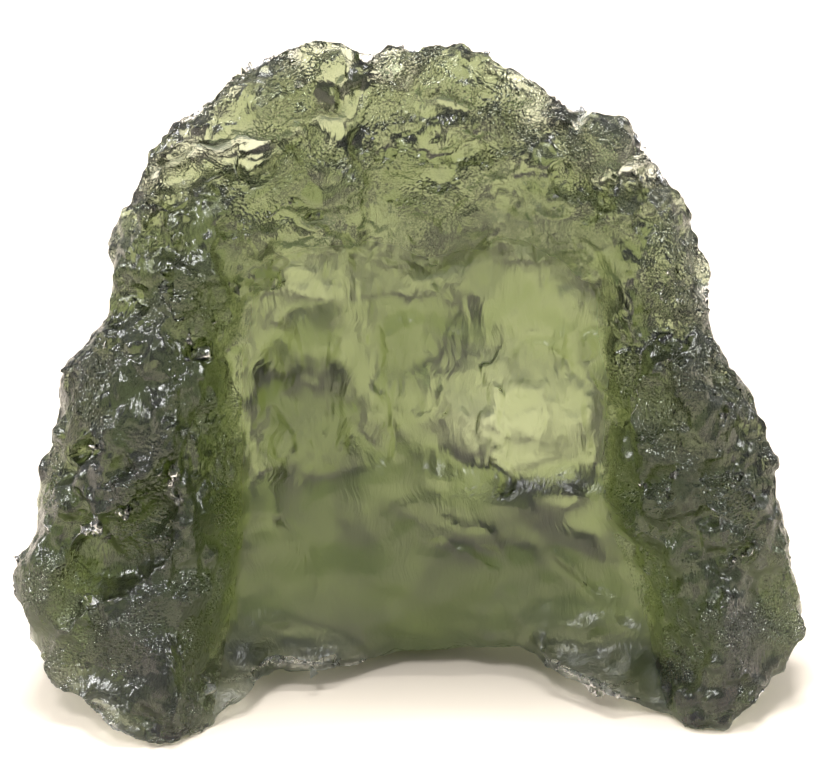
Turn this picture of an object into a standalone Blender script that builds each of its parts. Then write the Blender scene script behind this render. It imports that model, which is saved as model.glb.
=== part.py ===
"""A moldavite: one natural piece of green glass, shaped like a small alcove.

Two thick legs and a hood stand round a thinner web, which is set back between them. The glass was
bitten by pits all over. It rests on three small flat spots: one under each leg and one at the heel.

The stone is shaped as it is seen from the front, in millimetres: across to the right, up, and deep
away from the viewer. It is then stood up, because the viewer looks down on it a little.
"""

from math import cos, pi, radians, sin

import bmesh
import bpy
import numpy as np
from mathutils import Matrix, Vector, noise

MM = 0.001
NAME = "moldavite"

# How far above the horizon the viewer is, which is how far the stone is turned to stand on the ground
VIEW_TILT = radians(20)
# Triangles before and after the faceting
SPHERE_SUBDIVISIONS = 7
TRIANGLES_KEPT = 9400

# The silhouette, as (across, up), from the notch at the top anticlockwise
CENTRE = np.array((0.0, 13.6))
OUTLINE = [
    (-1.7, 27.3), (-3.1, 27.9), (-4.6, 27.55), (-6.0, 27.15), (-8.2, 26.0), (-9.7, 24.8),
    (-10.7, 22.9), (-11.8, 21.0), (-12.2, 19.5), (-12.05, 18.2), (-12.9, 16.6), (-13.9, 15.1),
    (-14.1, 13.0), (-14.4, 11.4), (-14.95, 9.8), (-15.15, 8.5), (-15.8, 7.3), (-15.6, 5.6),
    (-15.2, 4.1), (-13.7, 2.55), (-12.2, 1.0), (-10.4, 0.1), (-9.4, 0.0), (-8.3, 0.5),
    (-6.9, 1.6), (-5.3, 2.9), (-3.7, 2.85), (-0.9, 3.3), (1.5, 3.5), (4.5, 3.6),
    (5.3, 2.9), (7.4, 2.0), (9.6, 1.5), (11.0, 0.7), (12.3, 0.7), (14.1, 2.1),
    (15.5, 3.5), (15.6, 4.9), (15.25, 6.5), (15.1, 8.6), (14.6, 10.2), (14.5, 11.6),
    (13.5, 13.6), (12.5, 15.2), (11.85, 17.0), (11.85, 18.6), (11.4, 20.6), (11.0, 21.9),
    (9.9, 23.4), (8.6, 24.95), (6.4, 25.5), (4.9, 26.4), (3.3, 27.4), (1.2, 27.75), (0.0, 27.6),
]

# The lean of the whole stone towards the viewer, as depth lost for each millimetre up
LEAN = 0.33
# Depths in the leaning stone, before the lean is added: the shell at the back, and the front of the
# legs and the hood
BACK_DEPTH = 8.0
BACK_DEPTH_AT_TOP = 5.9
# Heights between which the back comes forward, and between which the legs' face goes back to the hood's
TOP_NARROWS = (18.0, 26.0)
HOOD_RISES = (15.0, 23.0)
LEG_FACE_DEPTH = -2.4
HOOD_FACE_DEPTH = 1.7
# The legs come forward at their tips: place and depth of the face
LEFT_TIP = (-9.4, 0.0)
LEFT_TIP_FACE = -6.2
RIGHT_TIP = (11.6, 0.8)
RIGHT_TIP_FACE = -5.0
TIP_SPREAD = 5.5
# Where the silhouette's line runs between front and back, as a share of the way to the back
RIM_SHARE = 0.6
# How square the edges are: 2 is round
FRONT_BLUNTNESS = 4.5
BACK_BLUNTNESS = 6.0
WEB_BLUNTNESS = 10.0

# The foot of the alcove's walls. It is open at the bottom, so it runs on below the stone
WEB_OUTLINE = [
    (-6.5, 15.5), (-6.55, 12.0), (-6.6, 8.0), (-7.2, 4.4), (-7.7, 1.4), (-7.9, -2.0), (10.4, -2.0),
    (10.0, 1.6), (9.2, 5.2), (7.8, 8.6), (7.45, 11.0), (7.7, 14.4), (6.9, 17.6), (4.2, 19.2),
    (0.8, 18.5), (-2.4, 19.0), (-5.4, 18.2),
]
WEB_WANDER = 0.5
WANDER_SIZE = 2.0
WALL_WIDTH_LEFT = 3.2
WALL_WIDTH_RIGHT = 3.8
WALL_WIDTH_TOP = 6.2
# Heights between which the walls get as wide as at the top, and the height under which they narrow
WALL_WIDENS = (14.0, 20.0)
WALL_NARROWS = 6.0
WALL_SHARE_AT_GROUND = 0.35
WALL_CURVE = 1.5
# The web's own thickness. It is thinner at the window, which lets most light through: there the front
# dips a little, and the back more
WEB_THICKNESS = 4.3
WINDOW = (3.9, 12.6)
WINDOW_SIZE = (4.6, 3.4)
WINDOW_THINNING = 0.8
BACK_HOLLOW_SIZE = (6.0, 5.5)
BACK_HOLLOW = 1.3
# Below this ledge the web is thicker. It is the line from which the lower part slopes forwards
LEDGE = [(-8.0, 9.8), (-3.2, 10.4), (-0.8, 11.4), (0.8, 11.0), (3.6, 10.3), (9.0, 9.7)]
LEDGE_STEP = 0.5
LEDGE_WIDTH = 1.3
LOWER_SLOPE = 0.1

# The heel at the back, which carries the stone with the two legs
HEEL = (0.4, 2.6)
HEEL_SIZE = (11.0, 14.0)
HEEL_DEPTH = 2.15
# Three spots press into the ground, which cuts them flat. The rest of the underside stays off it
CONTACTS = [(-9.4, 0.3), (11.6, 1.1), (0.4, 4.2)]
CONTACT_SPREAD = 2.4
CONTACT_PRESS = 0.7
UNDERSIDE_GAP = 0.8
# The thinnest that the stone gets over its underside
UNDERSIDE_THICKNESS = 2.2
# Over how much depth one surface runs into the other
BLEND = 5.0

# Rounded lobes on the front, as (across, up), (half width, half height), turn in degrees, height
LOBES = [
    ((-14.0, 5.2), (2.0, 2.8), 0, 1.0),
    ((-8.2, 18.7), (1.5, 2.3), 0, 1.0),
    ((-10.5, 21.2), (1.1, 1.1), 0, 0.6),
    ((-8.9, 20.9), (0.9, 0.9), 0, 0.4),
    ((-6.6, 25.0), (2.6, 1.3), 20, 0.7),
    ((-3.0, 27.0), (2.0, 1.3), 0, 0.6),
    ((1.4, 26.9), (2.5, 1.4), 15, 0.7),
    ((7.7, 23.7), (1.8, 1.2), -15, 1.1),
    ((8.7, 21.4), (1.4, 1.3), 0, 0.8),
    ((10.7, 18.0), (1.2, 1.6), 0, 0.6),
    ((11.4, 14.6), (1.4, 1.5), 30, 0.6),
    ((13.4, 10.6), (1.3, 1.8), 10, 0.6),
    ((6.3, 15.9), (0.9, 1.3), 0, 0.4),
    ((12.7, 3.6), (2.4, 2.2), 0, 0.6),
    ((-12.3, 14.6), (1.2, 2.6), 12, 0.5),
    ((-5.8, 20.4), (1.3, 1.6), -20, 0.4),
    ((4.8, 21.0), (1.6, 1.0), 10, 0.5),
]
# Scoops etched into the front, in the same form, with a depth
SCOOPS = [
    ((-10.7, 8.4), (2.5, 1.1), 48, 1.1),
    ((-12.9, 11.8), (1.1, 1.0), 0, 0.7),
    ((-8.4, 15.7), (1.3, 1.0), 0, 0.8),
    ((-7.5, 22.8), (3.0, 0.9), 18, 1.1),
    ((-1.7, 27.9), (0.9, 1.0), 0, 0.8),
    ((-2.6, 24.6), (2.0, 0.7), 20, 0.6),
    ((8.1, 22.5), (1.9, 0.6), -15, 0.7),
    ((6.0, 24.4), (1.6, 1.0), -25, 0.3),
    ((4.4, 22.6), (1.4, 0.6), 0, 0.5),
    ((10.2, 11.6), (1.3, 1.0), 40, 0.7),
    ((9.6, 8.9), (1.1, 0.9), 0, 0.5),
    ((12.4, 7.2), (1.2, 1.0), 30, 0.6),
    ((-9.8, 5.0), (1.3, 1.0), -30, 0.5),
    ((-8.6, 12.6), (1.0, 1.4), 0, 0.5),
    ((0.0, 21.4), (1.5, 0.8), 0, 0.4),
]

# Pits bitten into the whole surface, as radius and depth
SEED = 7
PIT_RADIUS = (0.9, 2.1)
PIT_DEPTH = 0.8
PIT_COUNT = 330
# The share of a pit's depth at which the surface keeps its place, with ridges above it
PIT_LEVEL = 0.3
PIT_WARP = 0.5
PIT_WARP_SIZE = 1.7
WEB_PIT_SHARE = 0.25
RIM_PIT_SHARE = 0.55
# How far a surface has turned from edge-on when it counts as a front or a back
FACING = 0.5
# The pits fade out towards the ground, below this height, where the toes are thin
TOE_HEIGHT = 3.0
# Slow unevenness of the whole surface
SWELL_SIZE = 5.0
SWELL_HEIGHT = 0.45

# The grid that evens out the surface, before and after the pits are bitten
EVEN_STEP = 0.22
PASSES_BEFORE_PITS = 6
PASSES_AFTER_PITS = 2


def smooth_loop(corners, steps=8):
    """A closed curve through the corners, as many points (Catmull-Rom)."""
    here = np.array(corners)
    before, after, beyond = (np.roll(here, shift, axis=0) for shift in (1, -1, -2))
    share = np.linspace(0, 1, steps, endpoint=False)[:, None, None]
    curve = 0.5 * (
        2 * here
        + (after - before) * share
        + (2 * before - 5 * here + 4 * after - beyond) * share**2
        + (3 * here - before - 3 * after + beyond) * share**3
    )
    return curve.transpose(1, 0, 2).reshape(-1, 2)


def outline_radius(angle):
    """The silhouette's distance from its centre in each direction."""
    arms = smooth_loop(OUTLINE) - CENTRE
    angles = np.arctan2(arms[:, 1], arms[:, 0])
    return np.interp(angle, *sorted_pair(angles, np.hypot(*arms.T)), period=2 * pi)


def sorted_pair(keys, values):
    order = np.argsort(keys)
    return keys[order], values[order]


def ease(share):
    """0 to 1 with level ends."""
    share = np.clip(share, 0, 1)
    return share * share * (3 - 2 * share)


def rise(value, start, end):
    """0 at the start, 1 at the end, level beyond both."""
    return ease((value - start) / (end - start))


def mound(places, middle, size, turn=0.0):
    """1 at the middle of a turned ellipse, falling smoothly to 0 at its edge."""
    offset = places - np.array(middle)
    c, s = cos(radians(turn)), sin(radians(turn))
    along = (offset @ (c, s)) / size[0]
    beside = (offset @ (-s, c)) / size[1]
    return np.clip(1 - along**2 - beside**2, 0, 1)


def distance_outside(places, corners):
    """How far each place lies outside a closed outline, or 0 inside it."""
    nearest = np.full(len(places), np.inf)
    inside = np.zeros(len(places), bool)
    for start, end in zip(corners, np.roll(corners, -1, axis=0)):
        edge = end - start
        offset = places - start
        share = np.clip(offset @ edge / (edge @ edge), 0, 1)
        nearest = np.minimum(nearest, np.linalg.norm(offset - share[:, None] * edge, axis=1))
        if start[1] != end[1]:
            spans = (start[1] > places[:, 1]) != (end[1] > places[:, 1])
            crossing = start[0] + edge[0] * (places[:, 1] - start[1]) / edge[1]
            inside ^= spans & (places[:, 0] < crossing)
    return np.where(inside, 0.0, nearest)


def alcove_share(places):
    """1 on the web, falling to 0 at the crest of the legs and the hood."""
    across, up = places.T
    side = np.where(across < 0, WALL_WIDTH_LEFT, WALL_WIDTH_RIGHT)
    width = side + (WALL_WIDTH_TOP - side) * rise(up, *WALL_WIDENS)
    width = width * (1 - (1 - WALL_SHARE_AT_GROUND) * rise(up, WALL_NARROWS, 0))
    wandered = places + WEB_WANDER * wander(places)
    outside = distance_outside(wandered, smooth_loop(WEB_OUTLINE, 4))
    return np.clip(1 - outside / width, 0, 1) ** WALL_CURVE


def wander(places):
    """A slow shift to and fro, which keeps lines from running straight."""
    return np.array([noise.noise_vector(Vector((a, u, 0)) / WANDER_SIZE).xy for a, u in places])


def near(places, middle, spread):
    """1 at a place, fading away from it."""
    return np.exp(-(((places - np.array(middle)) / spread) ** 2).sum(axis=1))


def rounding(reach, bluntness):
    """How much of the full depth is reached, from 1 in the middle to 0 at the silhouette."""
    return (1 - reach**bluntness) ** 0.5


def shell_depth(places):
    """The back of the stone without its heel, a shell that the web follows."""
    return BACK_DEPTH + (BACK_DEPTH_AT_TOP - BACK_DEPTH) * rise(places[:, 1], *TOP_NARROWS)


def back_depth(places):
    """The back with its heel and the hollow behind the window."""
    heel = HEEL_DEPTH * ease(mound(places, HEEL, HEEL_SIZE))
    return shell_depth(places) + heel - BACK_HOLLOW * ease(mound(places, WINDOW, BACK_HOLLOW_SIZE))


def leg_and_hood_depth(places):
    """The front as it would be with no alcove."""
    face = LEG_FACE_DEPTH + (HOOD_FACE_DEPTH - LEG_FACE_DEPTH) * rise(places[:, 1], *HOOD_RISES)
    left = (LEFT_TIP_FACE - LEG_FACE_DEPTH) * near(places, LEFT_TIP, TIP_SPREAD)
    right = (RIGHT_TIP_FACE - LEG_FACE_DEPTH) * near(places, RIGHT_TIP, TIP_SPREAD)
    return face + left + right


def web_thickness(places):
    """The glass between the alcove and the back: thin at the window, thick below the ledge."""
    thickness = WEB_THICKNESS - WINDOW_THINNING * ease(mound(places, WINDOW, WINDOW_SIZE))
    across, up = (places + WEB_WANDER * wander(places)).T
    below = np.interp(across, *zip(*LEDGE)) - up
    thickness = thickness + LEDGE_STEP * ease(below / LEDGE_WIDTH + 0.5)
    return thickness + LOWER_SLOPE * np.clip(below, 0, None)


def front_depth(places, alcove):
    """The front: legs and hood with the alcove let into them, then the lobes and scoops."""
    face = leg_and_hood_depth(places)
    for middle, size, turn, height in LOBES:
        face = face - height * ease(mound(places, middle, size, turn))
    for middle, size, turn, depth in SCOOPS:
        face = face + depth * mound(places, middle, size, turn)
    return face + (shell_depth(places) - web_thickness(places) - face) * alcove


def ground_depth(places):
    """The depth at which a line of sight through each place ends, a little over the ground."""
    pressed = sum(near(places, spot, CONTACT_SPREAD) for spot in CONTACTS)
    height = UNDERSIDE_GAP - (UNDERSIDE_GAP + CONTACT_PRESS) * pressed
    return (places[:, 1] * cos(VIEW_TILT) - height) / sin(VIEW_TILT)


def lesser(first, second):
    """The smaller of the two, going smoothly from one to the other."""
    share = np.clip(0.5 + 0.5 * (second - first) / BLEND, 0, 1)
    return second + (first - second) * share - BLEND * share * (1 - share)


def shaped(directions):
    """The stone's surface as seen from the front: across, deep and up for each direction of a sphere."""
    across, deep, up = directions.T
    reach = np.minimum(np.hypot(across, up), 1.0)
    radius = outline_radius(np.arctan2(up, across))
    places = CENTRE + np.stack((across, up), axis=1) * radius[:, None]
    alcove = alcove_share(places)
    lean = LEAN * (places[:, 1] - CENTRE[1])
    back = lesser(back_depth(places) - lean, ground_depth(places))
    front = lesser(front_depth(places, alcove) - lean, back - UNDERSIDE_THICKNESS)
    rim = front + RIM_SHARE * (back - front)
    front_share = rounding(reach, FRONT_BLUNTNESS + (WEB_BLUNTNESS - FRONT_BLUNTNESS) * alcove)
    back_share = rounding(reach, BACK_BLUNTNESS + (WEB_BLUNTNESS - BACK_BLUNTNESS) * alcove)
    depth = rim + np.where(deep > 0, (back - rim) * back_share, (front - rim) * front_share)
    return np.stack((places[:, 0], depth, places[:, 1]), axis=1)


def unit(vectors):
    return vectors / np.linalg.norm(vectors, axis=1)[:, None]


def height_over_ground(points):
    return points[:, 2] * cos(VIEW_TILT) - points[:, 1] * sin(VIEW_TILT)


def pits(points, normals, web):
    """How deep the pits bite at each point. Where two meet, the deeper one wins and leaves a ridge."""
    chance = np.random.default_rng(SEED)
    middles = shaped(unit(chance.normal(size=(PIT_COUNT, 3))))
    radii = chance.uniform(*PIT_RADIUS, PIT_COUNT)
    warped = points + PIT_WARP * drift(points)
    bite = np.zeros(len(points))
    for middle, radius in zip(middles, radii):
        share = np.linalg.norm(warped - middle, axis=1) / radius
        bite = np.maximum(bite, (radius / PIT_RADIUS[1]) * (1 - share**2))
    share = (1 - (1 - WEB_PIT_SHARE) * web) * rise(height_over_ground(points), 0, TOE_HEIGHT)
    share = share * (RIM_PIT_SHARE + (1 - RIM_PIT_SHARE) * rise(abs(normals[:, 1]), 0, FACING))
    return PIT_DEPTH * (bite - PIT_LEVEL) * share


def drift(points):
    """A shift to and fro, which keeps the pits from being round."""
    return np.array([noise.noise_vector(Vector(p) / PIT_WARP_SIZE) for p in points])


def swells(points):
    """A slow unevenness."""
    return SWELL_HEIGHT * np.array([noise.noise(Vector(p) / SWELL_SIZE) for p in points])


def normals_of(mesh):
    normals = np.empty(len(mesh.vertices) * 3, np.float32)
    mesh.vertex_normals.foreach_get("vector", normals)
    return normals.reshape(-1, 3).astype(float)


def coordinates(mesh):
    values = np.empty(len(mesh.vertices) * 3, np.float32)
    mesh.vertices.foreach_get("co", values)
    return values.reshape(-1, 3).astype(float)


def move_to(mesh, points):
    mesh.vertices.foreach_set("co", points.astype(np.float32).ravel())
    mesh.update()


def modified(mesh, kind, **settings):
    """The mesh with a modifier applied."""
    holder = bpy.data.objects.new("holder", mesh)
    bpy.context.scene.collection.objects.link(holder)
    modifier = holder.modifiers.new(kind, kind)
    for name, value in settings.items():
        setattr(modifier, name, value)
    graph = bpy.context.evaluated_depsgraph_get()
    result = bpy.data.meshes.new_from_object(holder.evaluated_get(graph))
    bpy.data.objects.remove(holder)
    return result


def evened(mesh, passes):
    """The same surface on an even grid, with thin edges rounded off."""
    mesh = modified(mesh, "REMESH", mode="VOXEL", voxel_size=EVEN_STEP)
    return modified(mesh, "SMOOTH", factor=0.5, iterations=passes)


def faceted(mesh):
    """The same surface with far fewer triangles."""
    mesh.calc_loop_triangles()
    return modified(mesh, "DECIMATE", ratio=TRIANGLES_KEPT / len(mesh.loop_triangles))


def stone_mesh():
    """The stone in the viewer's frame, in millimetres."""
    mesh = bpy.data.meshes.new("rough")
    sphere = bmesh.new()
    bmesh.ops.create_icosphere(sphere, subdivisions=SPHERE_SUBDIVISIONS, radius=1.0)
    sphere.to_mesh(mesh)
    sphere.free()
    move_to(mesh, shaped(unit(coordinates(mesh))))
    mesh = evened(mesh, PASSES_BEFORE_PITS)
    points, normals = coordinates(mesh), normals_of(mesh)
    web = alcove_share(points[:, [0, 2]]) * rise(-normals[:, 1], 0, FACING)
    height = swells(points) * (1 - web) - pits(points, normals, web)
    move_to(mesh, points + normals * height[:, None])
    return faceted(evened(mesh, PASSES_AFTER_PITS))


def stand_up(mesh):
    """Turns the stone from the viewer's frame to the ground's, in metres, with its middle at the origin."""
    mesh.transform(Matrix.Rotation(-VIEW_TILT, 4, "X"))
    points = coordinates(mesh)
    middle = (points.min(axis=0) + points.max(axis=0)) / 2
    mesh.transform(Matrix.Translation((-middle[0], -middle[1], 0)))
    mesh.transform(Matrix.Scale(MM, 4))


def glass():
    material = bpy.data.materials.new("moldavite_glass")
    material.use_nodes = True
    shader = material.node_tree.nodes["Principled BSDF"]
    shader.inputs["Base Color"].default_value = (0.16, 0.19, 0.07, 1)
    shader.inputs["Roughness"].default_value = 0.25
    shader.inputs["Metallic"].default_value = 0.0
    shader.inputs["IOR"].default_value = 1.49
    shader.inputs["Transmission Weight"].default_value = 0.8
    return material


def cut_feet(mesh):
    """Cuts off what is below the ground and closes the three flat spots."""
    stone = bmesh.new()
    stone.from_mesh(mesh)
    everything = stone.verts[:] + stone.edges[:] + stone.faces[:]
    bmesh.ops.bisect_plane(stone, geom=everything, plane_co=(0, 0, 0), plane_no=(0, 0, 1), clear_inner=True)
    bmesh.ops.holes_fill(stone, edges=[edge for edge in stone.edges if edge.is_boundary])
    bmesh.ops.recalc_face_normals(stone, faces=stone.faces)
    stone.to_mesh(mesh)
    stone.free()


def moldavite():
    mesh = stone_mesh()
    stand_up(mesh)
    cut_feet(mesh)
    mesh.materials.append(glass())
    mesh.shade_smooth()
    bpy.context.scene.collection.objects.link(bpy.data.objects.new(NAME, mesh))


def main():
    for thing in list(bpy.data.objects):
        bpy.data.objects.remove(thing)
    noise.seed_set(SEED)
    moldavite()


main()
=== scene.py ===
"""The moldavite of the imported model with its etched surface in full, on a pale floor in soft light.

The stone's own mesh is made finer, and folds, lobes, lumps, pits and wrinkles are worked into it.
Places on the stone are given as the viewer sees them, in millimetres: across to the right, deep away
from the viewer, and up, from a point below the stone's middle at the height of the left leg's tip.
"""

from math import cos, radians, sin

import bpy
import numpy as np
from mathutils import Matrix, Vector, kdtree, noise

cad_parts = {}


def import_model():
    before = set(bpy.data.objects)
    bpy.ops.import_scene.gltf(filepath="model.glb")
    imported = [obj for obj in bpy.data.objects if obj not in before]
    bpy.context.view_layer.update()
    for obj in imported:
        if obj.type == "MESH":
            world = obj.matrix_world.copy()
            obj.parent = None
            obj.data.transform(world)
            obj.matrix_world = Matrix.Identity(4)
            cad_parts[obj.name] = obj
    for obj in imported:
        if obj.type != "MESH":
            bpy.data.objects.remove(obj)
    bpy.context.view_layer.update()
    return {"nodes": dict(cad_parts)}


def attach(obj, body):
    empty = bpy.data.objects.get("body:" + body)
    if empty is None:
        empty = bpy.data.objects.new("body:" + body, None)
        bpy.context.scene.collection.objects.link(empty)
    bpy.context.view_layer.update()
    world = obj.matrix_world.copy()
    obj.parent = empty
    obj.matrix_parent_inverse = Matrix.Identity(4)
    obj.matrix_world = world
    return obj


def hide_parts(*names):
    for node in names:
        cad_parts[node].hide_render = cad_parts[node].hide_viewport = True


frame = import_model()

MM = 0.001
NODE = "moldavite"
SEED = 11

# How far above the horizon the viewer is, and where the stone's middle is in the viewer's frame
VIEW_TILT = radians(20)
MIDDLE = Vector((0.154, 7.062, 0.0))

# The photograph's frame in pixels, its scale, and the pixel where across and up are both 0
PHOTO_SIZE = (827, 768)
PIXELS_PER_MM = 25
PHOTO_ORIGIN = (411, 742)

# The grid that the surface is made on, and how it is smoothed before it is worked
GRID = 0.11
SMOOTHING_FACTOR = 0.5
SMOOTHING_ROUNDS = 24
TRIANGLES_KEPT = 190000

# How fast the front or the back of the stone gives way to its edge: fast for single forms, and
# slowly for the rest
FAST = 3
SLOW = 2


def viewer_from_row():
    """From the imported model's frame in metres to the viewer's in millimetres."""
    to_mm = Matrix.Scale(1 / MM, 4)
    return Matrix.Rotation(VIEW_TILT, 4, "X") @ Matrix.Translation(MIDDLE) @ to_mm


def modified(mesh, kind, **settings):
    """The mesh with a modifier applied."""
    holder = bpy.data.objects.new("holder", mesh)
    bpy.context.scene.collection.objects.link(holder)
    modifier = holder.modifiers.new(kind, kind)
    for name, value in settings.items():
        setattr(modifier, name, value)
    graph = bpy.context.evaluated_depsgraph_get()
    result = bpy.data.meshes.new_from_object(holder.evaluated_get(graph))
    bpy.data.objects.remove(holder)
    return result


def coordinates(mesh):
    """The place of each point, one row for each."""
    values = np.empty(len(mesh.vertices) * 3, np.float32)
    mesh.vertices.foreach_get("co", values)
    return values.reshape(-1, 3).astype(float)


def normals_of(mesh):
    """The direction that the surface faces at each point."""
    values = np.empty(len(mesh.vertices) * 3, np.float32)
    mesh.vertex_normals.foreach_get("vector", values)
    return values.reshape(-1, 3).astype(float)


def move_to(mesh, points):
    """Moves each point of the mesh to its new place."""
    mesh.vertices.foreach_set("co", points.astype(np.float32).ravel())
    mesh.update()


def ease(share):
    """0 to 1 with level ends."""
    share = np.clip(share, 0, 1)
    return share * share * (3 - 2 * share)


def in_front(normals, pace):
    """1 where the surface faces the viewer, 0 where it is side on or at the back."""
    return ease(-pace * normals[:, 1])


def behind(normals, pace):
    """1 where the surface faces away from the viewer, 0 where it is side on or in front."""
    return ease(pace * normals[:, 1])


# How far apart in the noise the fields with different numbers are
FIELD_STEP = Vector((7.3, 3.1, 5.7))
CALM_FIELD = 2
CRUMPLE_FIELD = 1


def waves(points, size, field=0):
    """Smooth noise from -1 to 1, with lumps of that size."""
    shift = field * FIELD_STEP
    return np.array([noise.noise(Vector(p) / size + shift) for p in points])


def drift(points, size):
    """Smooth noise as a shift to and fro."""
    return np.array([noise.noise_vector(Vector(p) / size) for p in points])


# The foot of the alcove's walls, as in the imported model
WEB_OUTLINE = [
    (-6.5, 15.5), (-6.55, 12.0), (-6.6, 8.0), (-7.2, 4.4), (-7.7, 1.4), (-7.9, -2.0), (10.4, -2.0),
    (10.0, 1.6), (9.2, 5.2), (7.8, 8.6), (7.45, 11.0), (7.7, 14.4), (6.9, 17.6), (4.2, 19.2),
    (0.8, 18.5), (-2.4, 19.0), (-5.4, 18.2),
]
WEB_FADE = 0.6
# It fades into the hood more slowly, from this height
WEB_FADES_FROM = 15.5
WEB_FADE_TOP = 4.5

# What was etched into the surface, one generation after the other: how many, their radii, how deep for
# their radius, and their stretch. Pits that meet leave a sharp ridge, and lumps, which have a depth
# less than 0, leave a sharp crease
PITS = [
    (900, (0.85, 1.5), -0.44, 1.6),
    (2600, (0.42, 0.8), -0.38, 1.5),
    (700, (0.35, 0.7), 0.36, 1.6),
    (4500, (0.18, 0.36), 0.3, 1.5),
]
# Zones that the etching spared: their size, how sharp their borders are, and the share of a pit's
# depth that is left there. The other shares are for the back of the web, the front of the web, and
# the stone's edge
CALM_SIZE = 2.1
CALM_CONTRAST = 2.2
CALM_SHARE = 0.3
BACK_PIT_SHARE = 0.28
WEB_PIT_SHARE = 0.22
EDGE_PIT_SHARE = 0.32
# How far the pits are bent out of their ovals, and over what distance
PIT_WARP = 0.22
PIT_WARP_SIZE = 0.7
# How far the whole surface is moved the other way, as a share of a middling pit's depth
PIT_LEVEL = 0.5


def distance_outside(places, corners):
    """How far each place lies outside a closed outline, or 0 inside it."""
    nearest = np.full(len(places), np.inf)
    inside = np.zeros(len(places), bool)
    corners = np.array(corners)
    for start, end in zip(corners, np.roll(corners, -1, axis=0)):
        edge = end - start
        offset = places - start
        share = np.clip(offset @ edge / (edge @ edge), 0, 1)
        nearest = np.minimum(nearest, np.linalg.norm(offset - share[:, None] * edge, axis=1))
        if start[1] != end[1]:
            spans = (start[1] > places[:, 1]) != (end[1] > places[:, 1])
            crossing = start[0] + edge[0] * (places[:, 1] - start[1]) / edge[1]
            inside ^= spans & (places[:, 0] < crossing)
    return np.where(inside, 0.0, nearest)


def web_share(points, normals):
    """1 on the front of the web, falling to 0 on the walls round it and on the back."""
    outside = distance_outside(points[:, [0, 2]], WEB_OUTLINE)
    high = ease((points[:, 2] - WEB_FADES_FROM) / WEB_FADE_TOP)
    fade = WEB_FADE + (WEB_FADE_TOP - WEB_FADE) * high
    return (1 - ease(outside / fade)) * in_front(normals, SLOW)


def behind_web(points, normals):
    """1 on the back of the web."""
    outside = distance_outside(points[:, [0, 2]], WEB_OUTLINE)
    return (1 - ease(outside / WEB_FADE)) * behind(normals, SLOW)


def etched_zones(points):
    """1 where the etching bit hard, 0 in the calm zones."""
    return ease(0.5 + CALM_CONTRAST * waves(points, CALM_SIZE, CALM_FIELD))


def pitted(points, normals, chance, count, radii, depth, stretch):
    """How deep one generation of pits bites. Where two meet, the deeper one leaves a sharp ridge."""
    warped = points + PIT_WARP * drift(points, PIT_WARP_SIZE)
    tree = kdtree.KDTree(len(points))
    for index, point in enumerate(warped):
        tree.insert(point, index)
    tree.balance()
    bite = np.zeros(len(points))
    for middle in chance.choice(len(points), count, replace=False):
        radius = chance.uniform(*radii)
        long = chance.uniform(1, stretch)
        along = Vector(chance.normal(size=3)).cross(Vector(normals[middle])).normalized()
        centre = Vector(warped[middle])
        for place, index, gap in tree.find_range(centre, radius * long):
            lengthwise = (place - centre).dot(along)
            share = (gap**2 - lengthwise**2 * (1 - 1 / long**2)) / radius**2
            bite[index] = max(bite[index], radius * (1 - share))
    return depth * (bite - PIT_LEVEL * sum(radii) / 2)


# Folds on the front: points (across, up) along them, half their width, and their height, which is
# less than 0 in a groove
FOLDS = [
    ([(-2.3, 25.4), (-2.0, 26.4), (-1.8, 27.2)], 0.4, -0.35),
    ([(-10.2, 21.9), (-8.4, 22.9), (-6.6, 23.2), (-4.6, 24.0)], 0.4, -0.6),
    ([(-9.8, 23.4), (-7.6, 24.2), (-5.0, 24.8)], 0.6, 0.35),
    ([(-9.0, 10.3), (-10.8, 8.5), (-12.5, 6.3)], 0.9, -0.75),
    ([(-10.3, 11.1), (-12.2, 9.2), (-13.6, 7.2)], 0.35, 0.3),
    ([(5.8, 22.3), (7.8, 22.0), (9.7, 22.5)], 0.4, -0.55),
    ([(-4.2, 17.5), (-1.2, 17.2), (0.9, 17.4), (2.9, 17.3)], 0.5, -0.12),
    ([(-0.6, 16.6), (-0.9, 14.0), (-0.4, 11.6)], 0.3, 0.16),
    ([(-1.2, 16.0), (-1.5, 13.6)], 0.2, -0.12),
    ([(3.0, 14.7), (3.5, 12.6), (3.6, 10.4)], 0.13, -0.14),
    ([(3.1, 11.2), (3.2, 14.6), (4.2, 16.2), (5.6, 16.3), (6.9, 14.8), (7.3, 11.4)], 0.16, -0.1),
    ([(-0.6, 11.2), (0.8, 10.8), (3.5, 10.1), (7.4, 9.8)], 0.45, 0.1),
    ([(1.2, 8.9), (2.4, 8.6), (3.9, 7.4)], 0.18, 0.1),
    ([(0.8, 8.2), (2.2, 7.8), (3.4, 6.8)], 0.18, 0.1),
    ([(5.8, 7.6), (7.2, 6.2), (8.2, 5.0)], 0.25, 0.12),
    ([(-5.2, 8.8), (-4.0, 7.4), (-3.8, 5.8)], 0.3, 0.12),
    ([(-2.0, 22.6), (-2.2, 20.6), (-1.8, 18.8)], 0.3, 0.2),
    ([(-12.9, 8.6), (-12.7, 6.8), (-13.0, 4.8)], 0.45, -0.45),
    ([(-5.6, 21.2), (-4.6, 21.4), (-3.6, 20.8)], 0.16, -0.2),
    ([(-5.7, 20.5), (-4.7, 20.8), (-3.8, 20.2)], 0.16, -0.2),
]

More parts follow.
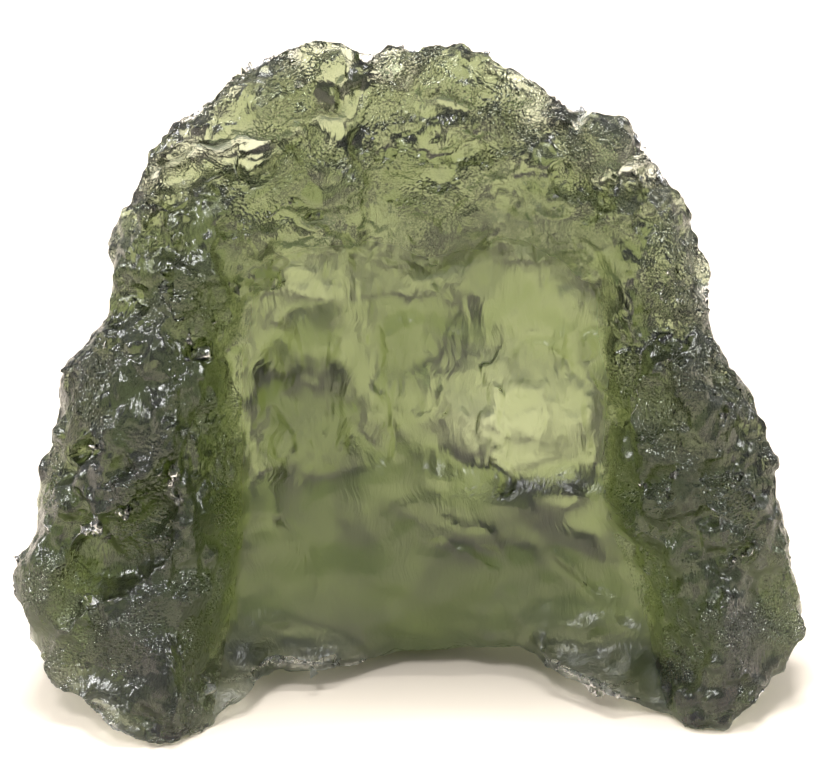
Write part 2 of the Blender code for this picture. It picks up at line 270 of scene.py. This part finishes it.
# Lobes and hollows on the front: middle (across, up), half sizes, turn in degrees, and height
LOBES = [
    ((-8.2, 18.6), (2.0, 1.3), 80, 0.55),
    ((-8.4, 15.9), (0.9, 0.7), 0, -0.45),
    ((-10.4, 21.1), (0.8, 0.55), 30, 0.35),
    ((-9.0, 20.6), (0.7, 0.5), -20, 0.3),
    ((-12.6, 11.7), (0.7, 0.5), 20, -0.35),
    ((-5.6, 18.3), (0.9, 0.6), 30, 0.3),
    ((-1.6, 23.3), (0.7, 0.28), -12, -0.3),
    ((1.3, 27.0), (2.2, 0.9), -8, 0.3),
    ((7.6, 23.9), (1.5, 1.0), -10, 0.45),
    ((8.4, 21.3), (1.2, 0.85), 15, 0.5),
    ((5.8, 15.9), (0.8, 0.5), 70, 0.2),
    ((7.0, 15.7), (0.7, 0.5), 60, 0.2),
    ((10.2, 17.6), (1.3, 0.8), 60, 0.4),
    ((11.2, 13.4), (1.4, 0.9), 75, 0.35),
    ((10.0, 10.6), (1.2, 0.9), 20, -0.35),
    ((12.3, 8.4), (1.3, 0.8), 70, 0.3),
    ((-4.1, 13.2), (4.6, 2.4), 90, 0.5),
    ((-14.7, 6.4), (1.4, 2.2), 8, 0.5),
    ((-4.6, 3.3), (3.0, 1.3), 0, -0.6),
    ((7.0, 3.2), (2.8, 1.6), 12, -0.6),
]

# The same on the back. They make the glass thicker or thinner where it is darker or brighter than
# the front alone would make it
BACK_LOBES = [
    ((-4.2, 13.2), (5.4, 2.9), 90, 0.9),
    ((-0.2, 16.9), (3.4, 2.8), 0, 0.8),
    ((-6.4, 19.3), (2.2, 2.0), 0, 0.4),
    ((7.6, 23.6), (2.2, 1.7), 0, -0.9),
    ((10.4, 18.2), (2.0, 3.4), 0, -1.0),
    ((0.8, 26.8), (4.6, 1.3), -5, 0.25),
    ((1.8, 22.4), (2.6, 2.0), 0, -0.5),
    ((3.9, 12.2), (2.6, 2.2), 0, -0.3),
]

# Smooth patches of the front that the pits spare, in the same terms without the height
SMOOTH = [
    ((-11.0, 13.4), (3.0, 1.0), -75),
    ((-7.4, 9.2), (1.6, 0.9), 80),
    ((14.0, 4.2), (2.4, 1.6), -60),
    ((9.4, 13.4), (1.4, 0.9), 80),
    ((-8.4, 4.0), (2.0, 1.1), 80),
    ((-10.8, 3.6), (3.6, 2.6), 0),
    ((-14.6, 6.0), (1.6, 3.0), 8),
    ((7.6, 23.7), (1.5, 1.1), -10),
    ((-8.4, 22.8), (2.6, 0.7), 20),
]

# How steeply a lobe and a smooth patch end at their edges
LOBE_EDGE = 1.6
SMOOTH_EDGE = 2.5
# How far the folds and lobes are bent out of their drawn lines, and over what distance
FEATURE_WARP = 0.5
FEATURE_WARP_SIZE = 1.1

# Wrinkles and hummocks of the web, and lumps of the back: size across and up, and height
WRINKLES = ((0.3, 1.6), 0.11)
HUMMOCKS = ((1.1, 0.8), 0.1)
BACK_LUMPS = ((1.6, 2.0), 0.26)
# The height up to which the web is hummocky, and the height from which it is wrinkled
HUMMOCKS_TO = (9.0, 12.0)
# Fine crumple everywhere but on the web: its size and height
CRUMPLE = (0.42, 0.05)
# How far the worked surface is let back in, so that its outline keeps close to the solid's
SETTLE = 0.26


def path_gap(places, path):
    """How far each place is from a line through the points."""
    nearest = np.full(len(places), np.inf)
    for start, end in zip(np.array(path), np.array(path)[1:]):
        edge = end - start
        offset = places - start
        share = np.clip(offset @ edge / (edge @ edge), 0, 1)
        nearest = np.minimum(nearest, np.linalg.norm(offset - share[:, None] * edge, axis=1))
    return nearest


def oval(places, middle, sizes, turn):
    """0 in the middle of an oval, 1 on its edge."""
    angle = radians(turn)
    offset = places - np.array(middle)
    along = offset @ np.array([cos(angle), sin(angle)]) / sizes[0]
    beside = offset @ np.array([-sin(angle), cos(angle)]) / sizes[1]
    return np.hypot(along, beside)


def features(points, normals):
    """The height of the folds and lobes of the front, and of the lobes of the back."""
    places = points[:, [0, 2]] + FEATURE_WARP * drift(points, FEATURE_WARP_SIZE)[:, :2]
    height = np.zeros(len(points))
    for path, half, rise in FOLDS:
        height += rise * ease(1 - path_gap(places, path) / (2 * half))
    for middle, sizes, turn, rise in LOBES:
        height += rise * ease(LOBE_EDGE * (1 - oval(places, middle, sizes, turn)))
    back = np.zeros(len(points))
    for middle, sizes, turn, rise in BACK_LOBES:
        back += rise * ease(LOBE_EDGE * (1 - oval(places, middle, sizes, turn)))
    return height * in_front(normals, FAST) + back * behind(normals, FAST)


def spared(points):
    """1 on the smooth patches."""
    places = points[:, [0, 2]]
    share = np.zeros(len(points))
    for middle, sizes, turn in SMOOTH:
        share = np.maximum(share, ease(SMOOTH_EDGE * (1 - oval(places, middle, sizes, turn))))
    return share


def stretched(points, sizes):
    """Smooth noise with lumps of that size across and up."""
    return waves(points / np.array([sizes[0], sizes[0], sizes[1]]), 1.0)


def relief(points, normals):
    """The height of wrinkles, hummocks, back lumps and crumple."""
    web = web_share(points, normals)
    low = 1 - ease((points[:, 2] - HUMMOCKS_TO[0]) / (HUMMOCKS_TO[1] - HUMMOCKS_TO[0]))
    height = web * (1 - low) * WRINKLES[1] * stretched(points, WRINKLES[0])
    height += web * low * HUMMOCKS[1] * stretched(points, HUMMOCKS[0])
    height += behind(normals, SLOW) * BACK_LUMPS[1] * stretched(points, BACK_LUMPS[0])
    ridges = 1 - 2 * np.abs(waves(points, CRUMPLE[0], CRUMPLE_FIELD))
    return height + (1 - web) * CRUMPLE[1] * ridges


def worked(mesh):
    """The surface with its folds, lobes, pits and waves."""
    chance = np.random.default_rng(SEED)
    points, normals = coordinates(mesh), normals_of(mesh)
    move_to(mesh, points + normals * features(points, normals)[:, None])
    for count, radii, depth, stretch in PITS:
        points, normals = coordinates(mesh), normals_of(mesh)
        share = 1 - (1 - WEB_PIT_SHARE) * web_share(points, normals)
        share *= 1 - (1 - BACK_PIT_SHARE) * behind_web(points, normals)
        if depth > 0:
            share *= CALM_SHARE + (1 - CALM_SHARE) * etched_zones(points)
        share *= 1 - spared(points) * in_front(normals, FAST)
        share *= EDGE_PIT_SHARE + (1 - EDGE_PIT_SHARE) * ease(SLOW * abs(normals[:, 1]))
        bite = pitted(points, normals, chance, count, radii, depth, stretch)
        move_to(mesh, points - normals * (bite * share)[:, None])
    points, normals = coordinates(mesh), normals_of(mesh)
    move_to(mesh, points + normals * (relief(points, normals) - SETTLE)[:, None])


# Roughness of the glass in the calm zones, and what the etched zones and the web add to it
ROUGHNESS = 0.17
ETCHED_ROUGHNESS = -0.08
WEB_ROUGHNESS = 0.12
# Roughness of the underside and the low back, the heights between which it ends, and how fast it
# gives way to the front
UNDERSIDE_ROUGHNESS = 0.7
UNDERSIDE_TO = (4.5, 11.5)
UNDERSIDE_SPREAD = 0.8
# The notes on the mesh that the glass reads
ROUGHNESS_MARK = "roughness"
ETCHED_MARK = "etched"


def mark(mesh):
    """Notes on each point how rough and how etched it is, for the glass to read."""
    points, normals = coordinates(mesh), normals_of(mesh)
    web = web_share(points, normals)
    etched = (1 - web) * etched_zones(points)
    under = 1 - ease((points[:, 2] - UNDERSIDE_TO[0]) / (UNDERSIDE_TO[1] - UNDERSIDE_TO[0]))
    under *= ease(UNDERSIDE_SPREAD + SLOW * (normals[:, 1] - normals[:, 2]))
    rough = ROUGHNESS + WEB_ROUGHNESS * web + ETCHED_ROUGHNESS * etched
    rough += (UNDERSIDE_ROUGHNESS - rough) * under
    for name, values in {ROUGHNESS_MARK: rough, ETCHED_MARK: etched}.items():
        share = mesh.attributes.new(name, "FLOAT", "POINT")
        share.data.foreach_set("value", values.astype(np.float32))


def stone():
    """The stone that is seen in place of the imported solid."""
    mesh = frame["nodes"][NODE].data.copy()
    to_viewer = viewer_from_row()
    mesh.transform(to_viewer)
    mesh = modified(mesh, "REMESH", mode="VOXEL", voxel_size=GRID)
    mesh = modified(mesh, "SMOOTH", factor=SMOOTHING_FACTOR, iterations=SMOOTHING_ROUNDS)
    worked(mesh)
    mesh.calc_loop_triangles()
    mesh = modified(mesh, "DECIMATE", ratio=TRIANGLES_KEPT / len(mesh.loop_triangles))
    mark(mesh)
    mesh.transform(to_viewer.inverted())
    points = coordinates(mesh)
    points[:, 2] = np.maximum(points[:, 2], 0)
    move_to(mesh, points)
    mesh.materials.clear()
    mesh.materials.append(glass())
    mesh.shade_smooth()
    piece = bpy.data.objects.new("moldavite_glass", mesh)
    bpy.context.scene.collection.objects.link(piece)
    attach(piece, "root")
    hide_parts(NODE)


# How much of red, green and blue each metre of the glass absorbs
ABSORPTION = (432.0, 378.0, 596.0)
GLASS_IOR = 1.49
# The share of the light that goes in. The rest is scattered by the dull skin that etching leaves
TRANSMISSION = 0.992
# Micro-pits in the shader: size and height in millimetres
MICRO_PITS = (0.16, 0.08)
# Striae: their spacing, how much longer than wide they are, over what distance and how far they
# wander, and their height
STRIATION_SPACING = 0.17
STRIATION_STRETCH = 7.0
STRIATION_WANDER = (1.4, 0.9)
STRIATION_HEIGHT = 0.045
# The layers of finer noise in the striae, and in their wander
STRIATION_LAYERS = 2.0
WANDER_LAYERS = 0.0
# How much denser than its strongest colour the absorption is, so that each colour is over 0
DENSITY_MARGIN = 1.1


def linked(tree, kind, inputs=None, **settings):
    """A new shader node. Inputs are values or the outputs of other nodes."""
    node = tree.nodes.new("ShaderNode" + kind)
    for name, value in settings.items():
        setattr(node, name, value)
    for name, value in (inputs or {}).items():
        if isinstance(value, bpy.types.NodeSocket):
            tree.links.new(value, node.inputs[name])
        else:
            node.inputs[name].default_value = value
    return node


def summed(tree, *layers):
    """The layers of relief added up, each a height of about 0 to 1 with its millimetres."""
    total = 0.0
    for height, millimetres in layers:
        layer = linked(tree, "Math", {0: height, 1: millimetres, 2: total}, operation="MULTIPLY_ADD")
        total = layer.outputs["Value"]
    return total


def glass():
    """Bottle-green natural glass: clear, absorbing, with an etched surface."""
    material = bpy.data.materials.new("moldavite_glass")
    material.use_nodes = True
    tree = material.node_tree
    shader = tree.nodes["Principled BSDF"]
    place = linked(tree, "TexCoord").outputs["Object"]
    place = linked(tree, "Mapping", {"Vector": place, "Scale": (1 / MM,) * 3}).outputs["Vector"]

    rough = linked(tree, "Attribute", attribute_name=ROUGHNESS_MARK).outputs["Fac"]
    tree.links.new(rough, shader.inputs["Roughness"])
    etched = linked(tree, "Attribute", attribute_name=ETCHED_MARK).outputs["Fac"]

    wander = {"Vector": place, "Scale": 1 / STRIATION_WANDER[0], "Detail": WANDER_LAYERS}
    wander = linked(tree, "TexNoise", wander).outputs["Color"]
    wander = {0: wander, "Scale": STRIATION_WANDER[1]}
    wander = linked(tree, "VectorMath", wander, operation="SCALE").outputs["Vector"]
    bent = linked(tree, "VectorMath", {0: place, 1: wander}, operation="ADD").outputs["Vector"]

    long = {"Vector": bent, "Scale": (1, 1, 1 / STRIATION_STRETCH)}
    long = linked(tree, "Mapping", long).outputs["Vector"]
    striae = {"Vector": long, "Scale": 1 / STRIATION_SPACING, "Detail": STRIATION_LAYERS}
    striae = linked(tree, "TexNoise", striae).outputs["Fac"]
    cells = linked(tree, "TexVoronoi", {"Vector": place, "Scale": 1 / MICRO_PITS[0]}).outputs["Distance"]
    cells = linked(tree, "Math", {0: cells, 1: etched}, operation="MULTIPLY").outputs["Value"]
    height = summed(tree, (striae, STRIATION_HEIGHT), (cells, MICRO_PITS[1]))
    normal = linked(tree, "Bump", {"Height": height, "Distance": MM}).outputs["Normal"]
    tree.links.new(normal, shader.inputs["Normal"])

    shader.inputs["Base Color"].default_value = (1, 1, 1, 1)
    shader.inputs["Transmission Weight"].default_value = TRANSMISSION
    shader.inputs["IOR"].default_value = GLASS_IOR
    density = max(ABSORPTION) * DENSITY_MARGIN
    tint = (*(1 - a / density for a in ABSORPTION), 1)
    absorption = linked(tree, "VolumeAbsorption", {"Color": tint, "Density": density})
    tree.links.new(absorption.outputs["Volume"], tree.nodes["Material Output"].inputs["Volume"])
    return material


# The floor's colour and roughness, and its size in metres
FLOOR_COLOUR = (0.95, 0.85, 0.73)
FLOOR_ROUGHNESS = 0.9
FLOOR_SIZE = 4.0
# How bright the white all round is
WORLD_STRENGTH = 0.64
# Soft lights, in metres and watts: place, size, power. They point at the stone's middle
STONE_MIDDLE = Vector((0.0, 0.0, 0.012))
LIGHTS = {
    "front": ((-0.1, -0.3, 0.38), 0.1, 0.9),
    "overhead": ((0.0, 0.05, 0.6), 0.25, 3.0),
    "left": ((-0.5, 0.0, 0.3), 0.15, 1.9),
    "right": ((0.5, 0.0, 0.3), 0.15, 1.2),
}


def floor():
    """The matt floor that the stone stands on."""
    mesh = bpy.data.meshes.new("floor")
    half = FLOOR_SIZE / 2
    corners = [(-half, -half, 0), (half, -half, 0), (half, half, 0), (-half, half, 0)]
    mesh.from_pydata(corners, [], [(0, 1, 2, 3)])
    material = bpy.data.materials.new("floor")
    material.use_nodes = True
    shader = material.node_tree.nodes["Principled BSDF"]
    shader.inputs["Base Color"].default_value = (*FLOOR_COLOUR, 1)
    shader.inputs["Roughness"].default_value = FLOOR_ROUGHNESS
    shader.inputs["Specular IOR Level"].default_value = 0.0
    mesh.materials.append(material)
    plane = bpy.data.objects.new("floor", mesh)
    bpy.context.scene.collection.objects.link(plane)


def light(name, place, size, power):
    """A square light that points at the stone."""
    lamp = bpy.data.lights.new(name, "AREA")
    lamp.size = size
    lamp.energy = power
    holder = bpy.data.objects.new(name, lamp)
    holder.location = place
    holder.rotation_euler = (STONE_MIDDLE - Vector(place)).to_track_quat("-Z", "Y").to_euler()
    bpy.context.scene.collection.objects.link(holder)


def world():
    """Soft white light from all round."""
    surroundings = bpy.data.worlds.new("soft_white")
    surroundings.use_nodes = True
    background = surroundings.node_tree.nodes["Background"]
    background.inputs["Color"].default_value = (1, 1, 1, 1)
    background.inputs["Strength"].default_value = WORLD_STRENGTH
    bpy.context.scene.world = surroundings


# The lens and the sensor in millimetres, and the nearest and farthest that the camera sees in metres
LENS = 300.0
SENSOR = 36.0
CLIP = (0.01, 10.0)
# The depth at which the photograph's scale holds
FOCUS_DEPTH = 6.0


def camera():
    """The photograph's view: a long lens that looks down at the stone."""
    lens = bpy.data.cameras.new("camera")
    lens.lens = LENS
    lens.sensor_width = SENSOR
    lens.clip_start = CLIP[0]
    lens.clip_end = CLIP[1]
    across = (PHOTO_SIZE[0] / 2 - PHOTO_ORIGIN[0]) / PIXELS_PER_MM
    up = (PHOTO_ORIGIN[1] - PHOTO_SIZE[1] / 2) / PIXELS_PER_MM
    distance = PHOTO_SIZE[0] / PIXELS_PER_MM * LENS / SENSOR
    place = viewer_from_row().inverted() @ Vector((across, FOCUS_DEPTH - distance, up))
    holder = bpy.data.objects.new("camera", lens)
    holder.location = place
    holder.rotation_euler = (radians(90) - VIEW_TILT, 0, 0)
    bpy.context.scene.collection.objects.link(holder)
    bpy.context.scene.camera = holder


noise.seed_set(SEED)
camera()
world()
for name, (place, size, power) in LIGHTS.items():
    light(name, place, size, power)
floor()
stone()
bpy.context.scene.view_settings.view_transform = "Standard"
